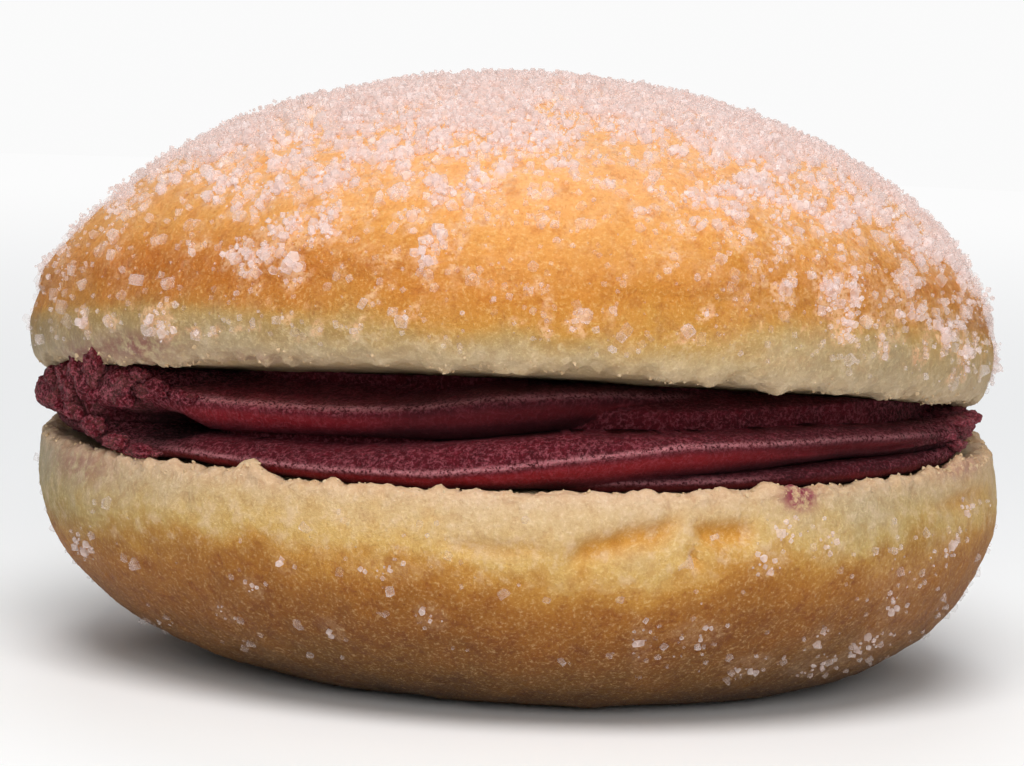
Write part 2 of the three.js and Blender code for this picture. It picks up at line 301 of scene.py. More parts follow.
def ragged(azimuth):
    return 0.22 * (1 + sine(9 * azimuth + 40)) + 0.16 * (1 + sine(17 * azimuth + 126))


def jagged(azimuth, seed):
    # small notches along a lip, from -1 to 1, about 1.5 mm and 0.6 mm wide
    drawn, notches = np.random.default_rng(seed), 0
    for count, share in ((180, 0.6), (460, 0.4)):
        heights = np.resize(drawn.uniform(-1, 1, count), count + 1)
        notches = notches + share * np.interp(azimuth % 360, np.linspace(0, 360, count + 1), heights)
    return notches


def crumbRise(crumbs, azimuth):
    return sum(rise * bump(azimuth, middle, halfWidth) for middle, halfWidth, rise in crumbs)


def spots(table, azimuth, height):
    # the amount that spots add up to: [azimuth, height, half width in degrees, half height, amount]
    return sum(amount * bump(azimuth, middle, halfWidth) * bump(height, level, halfHeight)
               for middle, level, halfWidth, halfHeight, amount in table)


def skinSwell(azimuth, height):
    swell = sine(4 * azimuth + 12 * height) * cosine(1.3 * azimuth + 9.7 * height) * cosine(azimuth / 2)
    return 0.22 * swell + 0.14 * sine(7 * azimuth - 17 * height + 63)


def stacked(rings):
    # the radius and the height of every ring, as two arrays
    return [np.array(values)[:, 0] for values in zip(*rings)]


def patchiness(points, size, seed):
    # low unevenness from -1 to 1, about size millimetres from patch to patch
    start = Vector((seed * 7.1, seed * 3.7, seed * 1.9))
    flat = points.reshape(-1, 3) / size
    values = [noise.fractal(Vector(point) + start, 1.0, 2.1, 3) for point in flat]
    return np.clip(np.array(values).reshape(points.shape[:-1]) * 1.6, -1, 1)


# Crust: a ramp from the pale line to the browned pole, with mottling, pores and fine grain
def crustLook(name, shades, settings):
    look, graph = material(name)
    low, high = shades[0][0], shades[-1][0]
    tints = {key: colour(*given) for key, given in settings.items() if isinstance(given, tuple)}
    settings = {**settings, **tints}
    place = graph.place()
    baked = graph.mark("baked")
    wander = (graph.noise(place, settings["wander"], 3.0) - 0.5) * settings["wanderBy"]
    mottle = (graph.noise(place, settings["mottle"], 4.0, 0.55) - 0.5) * settings["mottleBy"]
    share = (baked + wander + mottle - low) / (high - low)
    stops = [((at - low) / (high - low), colour(*channels)) for at, *channels in shades]
    shade = graph.add("ShaderNodeValToRGB", {"stops": stops}, {"Fac": share})
    # the first tint makes the crust browner, the second is painted cool shade that greys the pale band
    for tint in ("brown", "grey"):
        shade = graph.mix(graph.mark(tint), shade, settings[tint + "Tint"], "MULTIPLY")
    # a pale peach film where the sugar lies: partly sugar dust, partly painted light scattered by the
    # crystals into the gaps between them
    sugarDustAndScatteredLight = graph.span(graph.mark("sugar"), 0.16, 0.55)
    sugarDustAndScatteredLight = sugarDustAndScatteredLight * graph.span(graph.noise(place, 0.4, 4.0, 0.75), 0.38, 0.53)
    shade = graph.mix(sugarDustAndScatteredLight * settings["paleSpecksAndPaintedLight"], shade, settings["sugarDustAndScatteredLightShade"])
    # pale crumb along the cut lip, with painted light that lifts the shaded underside of the lid's lip
    shade = graph.mix(graph.mark("lip") * 0.55, shade, settings["lipPaleAndPaintedLight"])
    # golden colour with painted shade in the folds under the lip
    shade = graph.mix(graph.mark("crease"), shade, settings["foldGoldAndPaintedShade"])
    blotch = graph.noise(place, 1.4, 5.0, 0.7)
    pale = graph.span(baked, 1.0, -1.0)
    shade = graph.mix(graph.span(blotch, 0.48, 0.66) * pale * 0.36, shade, settings["bandLight"])
    fleck = graph.noise(place, 0.32, 5.0, 0.75)
    light = graph.span(fleck, 0.5, 0.68) * settings["light"]
    shade = graph.mix(light, shade, settings["lightTint"], "SCREEN")
    dark = settings["dark"] * (1 - pale * 0.5)
    for pattern, full in ((fleck, 0.3), (blotch, 0.34)):
        shade = graph.mix(graph.span(pattern, 0.5, full) * dark, shade, settings["darkTint"], "MULTIPLY")
    stained = graph.mark("smear") * graph.span(graph.noise(place, 0.9, 5.0, 0.7), 0.36, 0.56)
    shade = graph.mix(stained, shade, settings["smearShade"])
    pores = graph.add("ShaderNodeTexVoronoi", None, {"Vector": place, "Scale": 1 / (0.8 * mm)})
    swells = graph.relief(blotch, 0.5, 0.5)
    fine = graph.relief(fleck + pores * 0.25, settings["bumps"], 0.8, swells)
    rough = graph.span(fleck, 0.3, 0.7, settings["rough"] - 0.1, settings["rough"] + 0.12)
    constants = {"Specular IOR Level": 0.3, "Subsurface Weight": 0.1, "Subsurface Scale": 0.9 * mm,
                 "Subsurface Radius": (1.0, 0.55, 0.25)}
    finishMaterial(graph, constants, {"Base Color": shade, "Roughness": rough, "Normal": fine})
    return look


# The lower half
baseHalf = {
    "flatRadius": 22, "waistHeight": 16, "roundness": 1.9, "leftFullness": 0.22, "waistShift": -3.2,
    "lipPinch": 0.6, "lipRadius": 0.9, "dish": 0.5, "dishWidth": 1.2, "cutInset": 2.6}
# Folds under the lip: [azimuth and height where each begins, the same where it ends, half height, amount]
folds = [[6, 15.1, 18, 17.5, 1, 1], [20.5, 16.9, 27.5, 16.7, 1, 1], [-8, 15.8, 3, 15.4, 0.7, 0.4]]
# Dimples beside them: [azimuth, height, half width in degrees, half height, amount]
dimples = [[20.1, 14.9, 0.9, 1, 0.9], [66, 17.4, 8, 0.8, 0.6]]
foldDepth = 1
# Height at which the pale band of the lower half begins: [azimuth, height]
baseLine = [
    [-180, 14.5], [-90, 13], [-60, 13], [-45, 13.4], [-30, 14.6], [-15, 14.3], [-4, 12.7], [14, 12.6],
    [25, 13.8], [38, 14.6], [60, 14.2], [90, 14], [180, 14.5]]
baseRelief = {
    "Swell Size": 7, "Swell Depth": 0.7, "Ripple Size": 1.9, "Ripple Depth": 0.34, "Grain Size": 0.6,
    "Grain Depth": 0.22, "Lip Depth": 1.6}
# Crumbs that stand up from the lip: [azimuth, half width in degrees, rise]
baseCrumbs = [
    [-34, 2.1, 1.3], [-23, 0.8, 0.5], [-47, 1.2, 0.35], [3, 1.2, 0.3], [31, 0.8, 0.35], [58, 1.2, 0.5],
    [66, 1.6, 0.55], [-100, 1.5, 0.5], [128, 1.4, 0.5]]
# Where the crust gets painted cool shade, which greys its pale band: [azimuth, share]
basePaintedCoolShade = [
    [-180, 0.2], [-120, 0.6], [-85, 1], [-68, 0.8], [-50, 0.3], [-25, 0], [25, 0], [42, 0.5], [54, 0.5],
    [66, 0.1], [78, 0.1], [110, 0.4], [180, 0.2]]
# Sugar on the lower half: the least of it, its patches and what the right side adds
baseCover = {"least": 0.13, "patches": 0.1, "right": 0.1}
# Where it sticks: [azimuth, height, half width in degrees, half height, amount]
baseSugar = [
    [-67, 11.2, 3, 1.2, 1.2], [-35, 10.5, 1.2, 0.8, 1.2], [-29, 13, 1.2, 0.8, 1],
    [-26, 7.5, 1.4, 0.9, 1.2], [-16, 13.4, 4.5, 0.8, 0.9], [-12, 9.5, 1.5, 0.9, 1.6],
    [-43, 7.6, 1.3, 0.8, 1], [13, 8, 1.3, 2, 0.8], [21, 8.5, 3.5, 1, 0.8], [32, 17.2, 1.8, 1.1, 2],
    [29, 14.4, 1.8, 1, 1.4], [38, 16, 2.4, 1.6, 0.9], [39, 7.2, 1.4, 0.9, 1], [50, 12, 7, 3, 0.4],
    [51, 9.5, 1.8, 1, 1.4], [50, 6, 2.5, 1, 1.5], [30, 5, 3.5, 1, 0.9], [43, 4, 4, 1, 1],
    [60, 14, 4, 1.2, 0.7], [66, 16.5, 3, 1, 0.8], [-110, 9, 10, 3, 0.3], [120, 10, 14, 4, 0.35],
    [168, 12, 10, 3, 0.3]]
# Jelly smeared on the lip, laid out in the same way
baseSmears = [[34.3, 19.4, 2.2, 0.9, 1.8], [-64, 18.6, 8, 1.4, 0.5], [66, 19.8, 6, 0.7, 0.5]]


def placeOnBase(azimuth, radius, height):
    x = baseHalf["waistShift"] * np.minimum(1, height / baseHalf["waistHeight"]) + radius * sine(azimuth)
    tilt = bread["slope"] * x * height / bread["cutHeight"]
    return np.stack(np.broadcast_arrays(x, -radius * cosine(azimuth), height + tilt), axis=-1)


def fold(azimuth, height):
    depth = spots(dimples, azimuth, height)
    wave = 0.18 * sine(37 * azimuth + 80) + 0.12 * sine(61 * azimuth)
    for start, low, end, high, halfHeight, amount in folds:
        share = (azimuth - start) / (end - start)
        along = smooth(share, -0.2, 0.2) * (1 - smooth(share, 0.8, 1.2))
        line = blend(low, high, np.clip(share, 0, 1)) + wave
        depth = depth + amount * along * bump(height, line, halfHeight)
    return np.clip(depth, 0, 1)


def baseSkin(azimuth, height):
    # radius of the wall from the table up to the lip
    waist = waistRadius(azimuth)
    power = baseHalf["roundness"] - baseHalf["leftFullness"] * sine(azimuth)
    down = np.clip(1 - height / baseHalf["waistHeight"], 0, 1)
    out = (1 - down ** power) ** (1 / power)
    lipFoot = bread["cutHeight"] - baseHalf["lipRadius"]
    share = np.clip((height - baseHalf["waistHeight"]) / (lipFoot - baseHalf["waistHeight"]), 0, 1)
    uneven = skinSwell(azimuth, height) * out * (1 - share) - baseHalf["lipPinch"] * share ** 2
    return blend(baseHalf["flatRadius"], waist, out) + uneven - foldDepth * fold(azimuth, height)


def baseRings():
    azimuth = azimuths[None, :]
    edge = waistRadius(azimuth) - baseHalf["lipPinch"]
    drop = ragged(azimuth) + 0.5 * jagged(azimuth, 5)
    crumbs = crumbRise(baseCrumbs, azimuth)
    top = bread["cutHeight"]
    flat = 0 * azimuth
    rows = [(flat + baseHalf["flatRadius"] * share, flat) for share in np.arange(0.15, 1, 0.17)]
    power = 2 / (baseHalf["roundness"] - baseHalf["leftFullness"] * sine(azimuth))
    for angle in np.linspace(0, 90, 68):
        height = baseHalf["waistHeight"] * (1 - cosine(angle) ** power)
        rows.append((baseSkin(azimuth, height), height))
    for height in np.linspace(baseHalf["waistHeight"], top - baseHalf["lipRadius"], 14)[1:]:
        rows.append((baseSkin(azimuth, height), height + flat))
    for angle in np.linspace(0, 90, 10)[1:]:
        inward = baseHalf["lipRadius"] * (1 - cosine(angle))
        uneven = (crumbs - 0.5 * drop) * sine(angle)
        rows.append((edge - inward, top - baseHalf["lipRadius"] * (1 - sine(angle)) + uneven))
    for share in (0.3, 0.6, 1):
        level = top - blend(0.5 * drop - crumbs * (1 - share), baseHalf["dish"], share)
        rows.append((edge - baseHalf["lipRadius"] - baseHalf["dishWidth"] * share, level))
    inner = edge - baseHalf["lipRadius"] - baseHalf["dishWidth"]
    for share in (0.95, 0.88, 0.8, 0.7, 0.58, 0.45, 0.32, 0.2, 0.1):
        rows.append((inner * share, top - baseHalf["dish"] + flat))
    return stacked(rows)


radius, height = baseRings()
points = placeOnBase(azimuths[None, :], radius, height)
inside = (radius < waistRadius(azimuths) - baseHalf["cutInset"]) & (height > 15)
lip = bump(height, bread["cutHeight"], 1.1) * ~inside
baked = np.where(inside, -8, valueAt(baseLine, azimuths) - height)
grainy = np.where(height < 0.4, 0.3, 1)
pale = smooth(height, valueAt(baseLine, azimuths) - 3, valueAt(baseLine, azimuths) + 1)
sugary = baseCover["least"] + baseCover["patches"] * patchiness(points, 4, 8)
sugary = sugary + baseCover["right"] * smooth(azimuths, 25, 60) * smooth(-height, -13, -6)
sugary = sugary + spots(baseSugar, azimuths, height)
sugary = sugary * smooth(height, 2, 4) * (1 - smooth(height, 17, 19.4))
marks = {
    "baked": baked, "lip": lip, "grain": grainy, "crease": fold(azimuths[None, :], height) * ~inside,
    "grey": valueAt(basePaintedCoolShade, azimuths) * pale * ~inside, "brown": 0 * height,
    "sugar": np.clip(sugary, 0, 1) * ~inside,
    "smear": np.clip(spots(baseSmears, azimuths, height), 0, 1) * ~inside}
middle = placeOnBase(0, 0, bread["cutHeight"] - baseHalf["dish"])
baseMesh = roughened(skinMesh("baseSkin", points, placeOnBase(0, 0, 0), middle, marks), baseRelief)
# Shades of the crust: [mm past the pale line, red, green, blue]
baseShades = [
    [-8, 208, 180, 142], [-4, 205, 172, 122], [-1.5, 208, 168, 96], [0.2, 190, 134, 52], [2, 162, 102, 28],
    [6, 132, 78, 13], [10, 110, 70, 18], [14.5, 72, 44, 18]]
baseLook = crustLook("lowerCrust", baseShades, {
    "wander": 9, "wanderBy": 6, "mottle": 3, "mottleBy": 4.5, "light": 0.28, "dark": 0.5, "bumps": 0.24,
    "paleSpecksAndPaintedLight": 0.12, "rough": 0.62, "lightTint": (255, 220, 170), "darkTint": (204, 160, 114),
    "brownTint": (236, 200, 190), "greyTint": (204, 222, 240), "foldGoldAndPaintedShade": (204, 144, 54),
    "lipPaleAndPaintedLight": (218, 178, 146), "bandLight": (226, 198, 168), "sugarDustAndScatteredLightShade": (218, 190, 160),
    "smearShade": (142, 56, 72)})
breadBase = show("bread_base", baseMesh, baseLook)
print("lower half:", len(baseMesh.polygons), "faces")

# The upper half, lifted open at the front
lidHalf = {
    "bandHeight": 6.6, "domeHeight": 20.5, "roundness": 1.85, "shift": -4.2, "undersize": 0.2,
    "lipPinch": 0.9, "lipRadius": 1.1, "bandBulge": 0.35, "shoulderDip": 0.3, "shoulderWidth": 1.6,
    "leanBack": 0.1, "leanRight": 0.035, "sunk": 0.55, "leftSunk": 0.8, "rightSunk": 0.5,
    "cutInset": 3}
# Height over the cut at which the pale band of the lid ends: [azimuth, height]
lidLine = [
    [-180, 4], [-75, 3.8], [-45, 3.7], [-20, 3.1], [-5, 2.2], [14, 2.3], [28, 3.8], [45, 4.6], [62, 5.6],
    [90, 4.6], [180, 4]]
# How far up the lid thick sugar begins, as a share of its height: [azimuth, share]
sugarLine = [
    [-180, 0.36], [-135, 0.46], [-90, 0.56], [-60, 0.56], [-42, 0.46], [-15, 0.4], [0, 0.5], [8, 0.66],
    [18, 0.62], [32, 0.46], [50, 0.36], [90, 0.34], [135, 0.36], [180, 0.36]]
# How much sugar there is at that line and how fast it thickens above it, its clumps and specks, the least
# of it anywhere with its stray patches, and what the right and left sides add
lidCover = {
    "middle": 0.45, "gain": 1.5, "clumps": 0.35, "specks": 0.55, "least": 0.19, "strays": 0.08,
    "right": 0.11, "left": 0.07}
# Clumps and bare patches of the sugar: [azimuth, height over the cut, half width, half height, amount]
lidPatches = [
    [-9, 8.3, 3, 2, 0.8], [-8, 12.5, 3, 2, 0.6], [-24, 11.3, 3, 1.6, 0.6], [-36, 9, 5, 0.9, 0.7],
    [-47, 8, 2, 0.9, 0.6], [-17, 5.2, 1.5, 1, 0.6], [12, 5, 2, 0.9, 0.7], [22, 5.4, 1.4, 1, 0.6],
    [41, 6, 2.6, 2.2, 0.45], [31, 8, 3, 1.6, 0.35], [8, 13, 8, 3.6, -0.7], [-48, 12, 9, 3, -0.4],
    [-60, 3.2, 9, 1.2, 0.65], [-36, 2.4, 9, 1, 0.6], [-14, 3.2, 7, 1.1, 0.45], [6, 3.4, 6, 1, 0.65],
    [24, 2.8, 6, 1, 0.6], [46, 3.2, 8, 1.2, 0.35], [66, 4, 7, 1.5, 0.35]]
lidRelief = {
    "Swell Size": 8, "Swell Depth": 0.7, "Ripple Size": 1.9, "Ripple Depth": 0.32, "Grain Size": 0.6,
    "Grain Depth": 0.22, "Lip Depth": 1.6}
# Crumbs that hang from the lip: [azimuth, half width in degrees, rise]
lidCrumbs = [
    [-31.4, 0.9, -0.8], [-28, 0.7, -0.5], [-8, 1.4, -0.4], [1, 1.6, -0.5], [34, 1.2, -0.4],
    [52, 1.5, -0.4], [-110, 1.2, -0.4], [115, 1.4, -0.4]]
# Where the pale band gets painted cool shade, and where the crust over it is browner: [azimuth, share]
lidPaintedCoolShade = [
    [-180, 0.3], [-120, 0.7], [-85, 0.95], [-66, 0.9], [-45, 0.55], [-15, 0.5], [5, 0.3], [20, 0.05],
    [32, 0.1], [48, 0.5], [62, 0.2], [78, 0], [110, 0.3], [180, 0.3]]
lidBrown = [
    [-180, 0.4], [-100, 0.5], [-70, 0.6], [-50, 1], [-25, 0.75], [-8, 0.35], [15, 0.2], [40, 0.5],
    [70, 0.7], [110, 0.5], [180, 0.4]]
lidSmears = [[-50, 1.2, 7, 1.1, 0.8], [-62, 0.8, 6, 0.9, 0.6], [-33, 0.2, 6, 0.5, 0.4]]


def placeOnLid(azimuth, radius, height):
    x = lidHalf["shift"] + radius * sine(azimuth)
    y = -radius * cosine(azimuth)
    level = cutLevel(x) + lift(x, y)
    leant = x + lidHalf["leanRight"] * height, y + lidHalf["leanBack"] * height
    return np.stack(np.broadcast_arrays(*leant, level + height), axis=-1)


def lidSkin(azimuth, height):
    # radius of the band and the dome, from the lip up to the crown
    waist = waistRadius(azimuth) - lidHalf["undersize"]
    share = np.clip(height / lidHalf["bandHeight"], 0, 1)
    up = np.clip((height - lidHalf["bandHeight"]) / lidHalf["domeHeight"], 0, 1)
    inward = (1 - up ** lidHalf["roundness"]) ** (1 / lidHalf["roundness"])
    band = lidHalf["bandBulge"] * sine(share * 180) - lidHalf["lipPinch"] * (1 - share) ** 3
    below = np.clip(1 - height / lidHalf["lipRadius"], 0, 1)
    rounding = lidHalf["lipRadius"] * (1 - np.sqrt(1 - below ** 2))
    dip = lidHalf["shoulderDip"] * bump(height, lidHalf["bandHeight"], lidHalf["shoulderWidth"])
    return (waist + skinSwell(azimuth, height) * (up > 0)) * inward + band - rounding - dip


def lidRings():
    azimuth = azimuths[None, :]
    edge = waistRadius(azimuth) - lidHalf["undersize"] - lidHalf["lipPinch"]
    rise = ragged(azimuth + 115) + 0.85 * jagged(azimuth, 6) + 2 * crumbRise(lidCrumbs, azimuth)
    flat = 0 * azimuth
    rows = [(edge * share, flat) for share in (0.1, 0.2, 0.32, 0.44, 0.56, 0.66, 0.74, 0.8, 0.85, 0.9)]
    for inset in (3.6, 2.9, 2.3, 1.7):
        rows.append((edge - inset, flat + 0.5 * rise * smooth(-inset, -3.6, -1.1)))
    for angle in np.linspace(0, 90, 9):
        height = lidHalf["lipRadius"] * (1 - cosine(angle)) + flat
        rows.append((lidSkin(azimuth, height), height + 0.5 * rise * (1 - height / lidHalf["lipRadius"])))
    for height in np.linspace(lidHalf["lipRadius"], lidHalf["bandHeight"], 17)[1:]:
        rows.append((lidSkin(azimuth, height + flat), height + flat))
    for angle in np.linspace(0, 90, 104)[1:-1]:
        up = sine(angle) ** (2 / lidHalf["roundness"])
        height = lidHalf["bandHeight"] + lidHalf["domeHeight"] * up + flat
        rows.append((lidSkin(azimuth, height), height))
    return stacked(rows)


def lidSugar(points, height, inside):
    share = (height - 2) / (lidHalf["bandHeight"] + lidHalf["domeHeight"] - 2)
    thick = lidCover["middle"] + lidCover["gain"] * (share - valueAt(sugarLine, azimuths))
    thick = thick + spots(lidPatches, azimuths, height)
    thick = thick + lidCover["clumps"] * patchiness(points, 6, 3)
    thick = thick + lidCover["specks"] * patchiness(points, 1.8, 7)
    sides = lidCover["right"] * smooth(azimuths, 16, 42) + lidCover["left"] * smooth(-azimuths, 44, 66)
    strays = sides + lidCover["strays"] * patchiness(points, 1.2, 19)
    least = lidCover["least"] + lidCover["strays"] * patchiness(points, 4, 12)
    least = least + strays * smooth(height, 4, 8)
    return np.clip(thick, least, 1) * ~inside * smooth(height, 0.6, 2)


def sunk(points, azimuth, height):
    # the crust lies lower where the sugar is thick, so that both together keep the form of the doughnut
    outward = points - np.array([lidHalf["shift"], 0, bread["cutHeight"]])
    outward /= np.linalg.norm(outward, axis=-1, keepdims=True)
    sides = lidHalf["leftSunk"] * bump(azimuth, -88, 34) + lidHalf["rightSunk"] * bump(azimuth, 88, 30)
    depth = lidHalf["sunk"] * smooth(height, 6, 12) + sides * bump(height, 15, 7)
    return points - outward * np.asarray(depth)[..., None]


radius, height = lidRings()
points = sunk(placeOnLid(azimuths[None, :], radius, height), azimuths, height)
inside = (radius < waistRadius(azimuths) - lidHalf["cutInset"]) & (height < 1)
lip = bump(height, 0, 1.2) * ~inside
baked = np.where(inside, -5, height - valueAt(lidLine, azimuths))
band = 1 - smooth(baked, -0.5, 1.5)
over = smooth(baked, 0, 1.5) * (1 - smooth(baked, 4, 9))
marks = {
    "baked": baked, "lip": lip, "grain": np.where(inside, 0.5, 1), "crease": 0 * height,
    "grey": valueAt(lidPaintedCoolShade, azimuths) * band * ~inside, "brown": valueAt(lidBrown, azimuths) * over,
    "smear": np.clip(spots(lidSmears, azimuths, height), 0, 1) * ~inside,
    "sugar": lidSugar(points, height, inside)}
crown = placeOnLid(0, 0, lidHalf["bandHeight"] + lidHalf["domeHeight"] - lidHalf["sunk"])
lidMesh = roughened(skinMesh("lidSkin", points, placeOnLid(0, 0, 0), crown, marks), lidRelief)
lidShades = [
    [-5, 188, 162, 124], [-2, 186, 158, 110], [0, 190, 150, 84], [1.6, 200, 144, 60], [4, 202, 134, 46],
    [8, 226, 156, 78], [13, 244, 174, 106], [23, 244, 180, 114]]
lidLook = crustLook("upperCrust", lidShades, {
    "wander": 10, "wanderBy": 5.5, "mottle": 2.8, "mottleBy": 4, "light": 0.28, "dark": 0.4, "bumps": 0.24,
    "paleSpecksAndPaintedLight": 0.75, "rough": 0.6, "lightTint": (255, 216, 160), "darkTint": (212, 168, 124),
    "brownTint": (234, 202, 164), "greyTint": (212, 220, 238), "foldGoldAndPaintedShade": (214, 140, 52),
    "lipPaleAndPaintedLight": (214, 190, 156), "bandLight": (222, 200, 168), "sugarDustAndScatteredLightShade": (234, 184, 140),
    "smearShade": (128, 62, 66)})
breadLid = show("bread_lid", lidMesh, lidLook)
print("upper half:", len(lidMesh.polygons), "faces")

# The jelly: it fills the mouth, and its open front is one line piped to and fro
jelly = {
    "frontInset": 7.5, "hollowInset": 13, "hollowHeight": 6.2, "hollowBlend": 0.6, "backInset": 2.2,
    "ripple": 0.35, "blend": 0.3, "thinnest": 0.05, "clearance": 0.12, "columns": 800, "crowding": 0.38,
    "away": 60}
# The three runs of the line, lowest first: [azimuth, inset of its ridge, then the heights above the cut of
# its foot, its ridge and its top, and how far its foot and top draw back behind the ridge]
runs = [
    [[-180, 12, -0.1, 0, 0.1, 1], [-90, 12, -0.1, 0, 0.2, 1], [-10, 6, -0.6, 0.3, 1, 2],
     [8, 3.2, -0.6, 0.3, 1, 2], [20, 2, -0.6, 0.4, 0.9, 2], [45, 1.7, -0.4, 0.7, 1.4, 1.6],
     [66, 2, -0.3, 0.7, 1.3, 1.4], [76, 3.2, -0.2, 0.6, 1.1, 1.2], [88, 4.4, 0, 0.5, 0.9, 1.2],
     [110, 12, -0.1, 0.2, 0.4, 1], [180, 12, -0.1, 0, 0.1, 1]],
    [[-180, 12, 0.2, 0.3, 0.4, 1], [-105, 12, 0.3, 0.9, 1.2, 1], [-86, 1.6, 0.3, 1.4, 2, 1.5],
     [-58, 2.6, 0.1, 0.9, 2, 2.2], [-24, 1.9, -0.6, 0.7, 2.3, 2.8], [-11, 1.6, -0.6, 0.9, 3.1, 3],
     [-2, 1.5, -0.4, 1.6, 3.8, 3], [6, 1.5, -0.2, 2.4, 4.2, 3], [20, 1.6, 0.6, 3.4, 4.2, 2.8],
     [43, 2, 1.5, 3.3, 4.2, 2.4], [74, 2, 0.9, 2.4, 3.2, 2], [88, 2.2, 0.8, 1.5, 2.2, 1.6],
     [110, 12, 0.5, 0.9, 1.2, 1], [180, 12, 0.2, 0.3, 0.4, 1]],
    [[-180, 12, 0.5, 0.6, 0.7, 1], [-105, 12, 1.4, 2, 2.4, 1], [-82, 1.6, 1.6, 3, 3.8, 2],
     [-52, 3, 2.3, 4.9, 5.8, 2.5], [-25, 4.2, 3, 5.1, 5.8, 2.5], [-14, 4.4, 3.1, 5.6, 6.4, 2.5],
     [-5, 4.6, 3.4, 6.5, 7.3, 2.5], [5, 6, 4, 6.8, 7.6, 2.5], [14, 8.5, 4.2, 6.6, 7.4, 2.5],
     [28, 10.5, 4.4, 6, 6.8, 2], [46, 12, 4.2, 5.2, 5.7, 2], [70, 12, 3.2, 3.5, 3.8, 1],
     [110, 12, 1.4, 1.6, 1.8, 1], [180, 12, 0.5, 0.6, 0.7, 1]]]
# Lumps where it turns: [azimuth, inset of the face, height above the cut, half length, half height, depth]
lumps = [
    [-82, -0.3, 3.2, 4, 1.7, 2.2], [-62, 0.9, 5.4, 5.5, 2.6, 3], [-68, 1.2, 3.2, 5, 2.2, 3],
    [-58, 1.5, 0.7, 8, 0.9, 2], [78, 2.6, 2.4, 5, 1.5, 2]]
# Dents and grooves: [azimuth, height above the cut, half width in degrees, half height, depth]
dents = [
    [40, 2.6, 7, 0.22, 0.35], [53, 2.3, 8, 0.2, 0.5], [62, 1.7, 7, 0.2, 0.5], [-54, 2.4, 4.2, 1, 7],
    [-61, 3, 2, 0.5, 1.2], [79, 1.4, 2, 0.35, 0.9], [72, 2.3, 1.6, 0.4, 0.8], [-57, 4.6, 1.2, 0.5, 0.9],
    [-63, 5.8, 1, 1.4, 0.8]]
# Rows of the skin between one foot, ridge or top and the next
levelSteps = [5, 11, 6, 14, 19, 14, 19, 12, 18]
jellyRelief = {
    "Swell Size": 3.2, "Swell Depth": 0.3, "Ripple Size": 1.2, "Ripple Depth": 0.42, "Grain Size": 0.45,
    "Grain Depth": 0.26, "Lip Depth": 0}
# How much painted shade each run gets: [azimuth, share]
runPaintedShade = [
    [[-90, 0.8], [0, 0.85], [30, 0.8], [60, 0.65], [74, 0.25], [90, 0.2]],
    [[-90, 0.4], [-30, 0.4], [0, 0.3], [20, 0.35], [32, 0.6], [45, 0.75], [62, 0.6], [74, 0.15], [90, 0.1]],
    [[-90, 0], [-36, 0], [-24, 0.3], [-14, 0.75], [14, 0.75], [90, 0.6]]]
# How much painted shade the hollow gets: [azimuth, share]
hollowPaintedShade = [[-60, 0.3], [-20, 0.5], [0, 0.55], [20, 0.5], [40, 0.45]]


def runInset(stops, azimuth, height):
    inset, foot, ridge, top, draw = [valueAt(stops, azimuth, column) for column in range(1, 6)]
    away = np.where(height > ridge, (height - ridge) / (top - ridge), (ridge - height) / (ridge - foot))
    curved = inset + draw * (1 - np.sqrt(np.clip(1 - np.clip(away, 0, 1) ** 1.8, 0, 1)))
    return np.where(away < 1.0001, curved, jelly["away"])


def lumpInset(lump, azimuth, height):
    middle, inset, level, halfLength, halfHeight, depth = lump
    along = np.radians(azimuth - middle) * bread["width"] / 2 / halfLength
    away = along ** 2 + ((height - level) / halfHeight) ** 2
    curved = inset + depth * (1 - np.sqrt(np.clip(1 - away, 0, 1)))
    return np.where(away < 1, curved, jelly["away"])


def jellyInset(azimuth, height):
    front = np.abs(cosine(azimuth / 2)) ** 2.4
    over = height - jelly["hollowHeight"]
    hollow = smooth(over, -jelly["hollowBlend"], jelly["hollowBlend"])
    face = blend(jelly["frontInset"], jelly["hollowInset"], hollow)
    ripple = jelly["ripple"] * (sine(11 * azimuth) + sine(6 * azimuth + 57))
    behind = blend(jelly["backInset"], face, front) + ripple
    insets = [behind] + [runInset(stops, azimuth, height) for stops in runs]
    insets = np.array(insets + [lumpInset(lump, azimuth, height) for lump in lumps])
    nearest = insets.min(axis=0)
    crowd = np.exp((nearest - insets) / jelly["blend"]).sum(axis=0)
    inset = nearest - jelly["blend"] * np.log(crowd) + spots(dents, azimuth, height)
    return inset, insets[:1 + len(runs)].argmin(axis=0)


def jellyLevels(azimuth, floor, ceiling):
    marks = [floor] + [valueAt(runs[0], azimuth, column) for column in (3, 4)]
    marks += [valueAt(stops, azimuth, column) for stops in runs[1:] for column in (2, 3, 4)]
    marks = [mark + 0 * azimuth for mark in marks] + [ceiling]
    for i in range(1, len(marks)):
        marks[i] = np.maximum(marks[i], marks[i - 1] + jelly["thinnest"])
    for i in range(len(marks)):
        marks[i] = np.minimum(marks[i], ceiling - jelly["thinnest"] * (len(marks) - 1 - i))
    levels = []
    for low, high, steps in zip(marks, marks[1:], levelSteps):
        levels += [blend(low, high, step / steps) for step in range(steps)]
    return np.array(levels + [ceiling])


def underLid(x, y):
    return cutLevel(x) + lift(x, y) - jelly["clearance"]


def placeJelly(azimuth, height):
    inset, run = jellyInset(azimuth, height)
    radius = waistRadius(azimuth) - inset
    x = mouth["centre"] + radius * sine(azimuth)
    return np.stack([x, -radius * cosine(azimuth), cutLevel(x) + height], axis=-1), run


